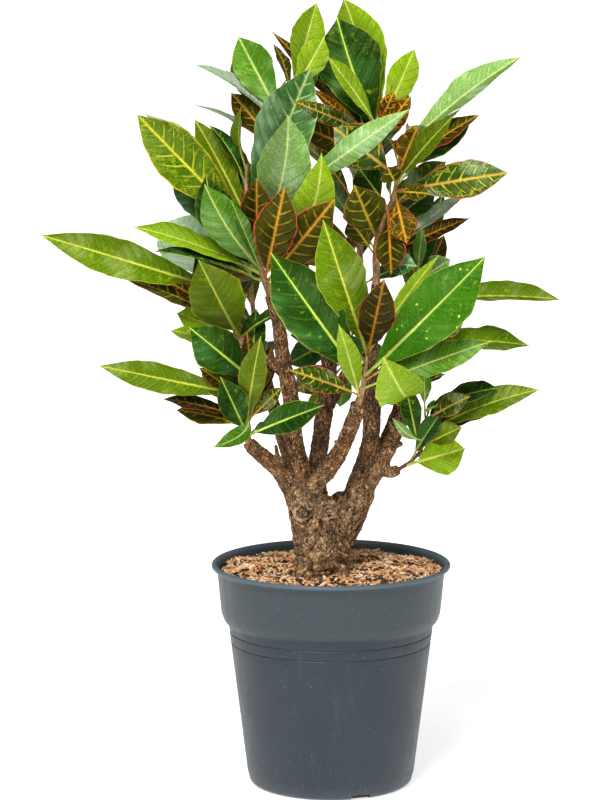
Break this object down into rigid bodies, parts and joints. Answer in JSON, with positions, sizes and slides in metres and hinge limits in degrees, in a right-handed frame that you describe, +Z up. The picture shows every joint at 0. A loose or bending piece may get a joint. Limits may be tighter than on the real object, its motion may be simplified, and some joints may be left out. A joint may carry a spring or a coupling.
{
  "type": "potted croton",
  "caption": "Bushy croton plant with a forked woody trunk and variegated leaves, growing in a round tapered nursery pot of coarse soil.",
  "frame": {"origin": "centre of the pot's underside, where it stands on the floor", "axes": "+Z up along the pot's axis, -Y towards the side that is seen from the front, +X to the right of that view"},
  "size_m": [0.5784, 0.3698, 0.8846],
  "materials": {
    "pot_plastic": "satin slate grey, faintly speckled",
    "soil": "coarse loose bark chips and coir, tan to dark brown",
    "bark": "rough, knobby grey-brown bark",
    "leaves": "glossy, deep green to lime, olive and maroon, with yellow and orange veins and pink edges"
  },
  "bodies": {
    "root": {"pot": "pot_plastic", "soil": "soil", "trunk": "bark", "crown_shoot": "leaves", "crown_left_shoot": "leaves", "upper_right_shoot": "leaves", "upper_left_shoot": "leaves", "left_shoot": "leaves", "lower_left_shoot": "leaves", "front_shoot": "leaves", "right_shoot": "leaves", "lower_right_shoot": "leaves", "centre_shoot": "leaves", "back_left_shoot": "leaves", "back_shoot": "leaves", "back_right_shoot": "leaves"}
  },
  "joints": []
}
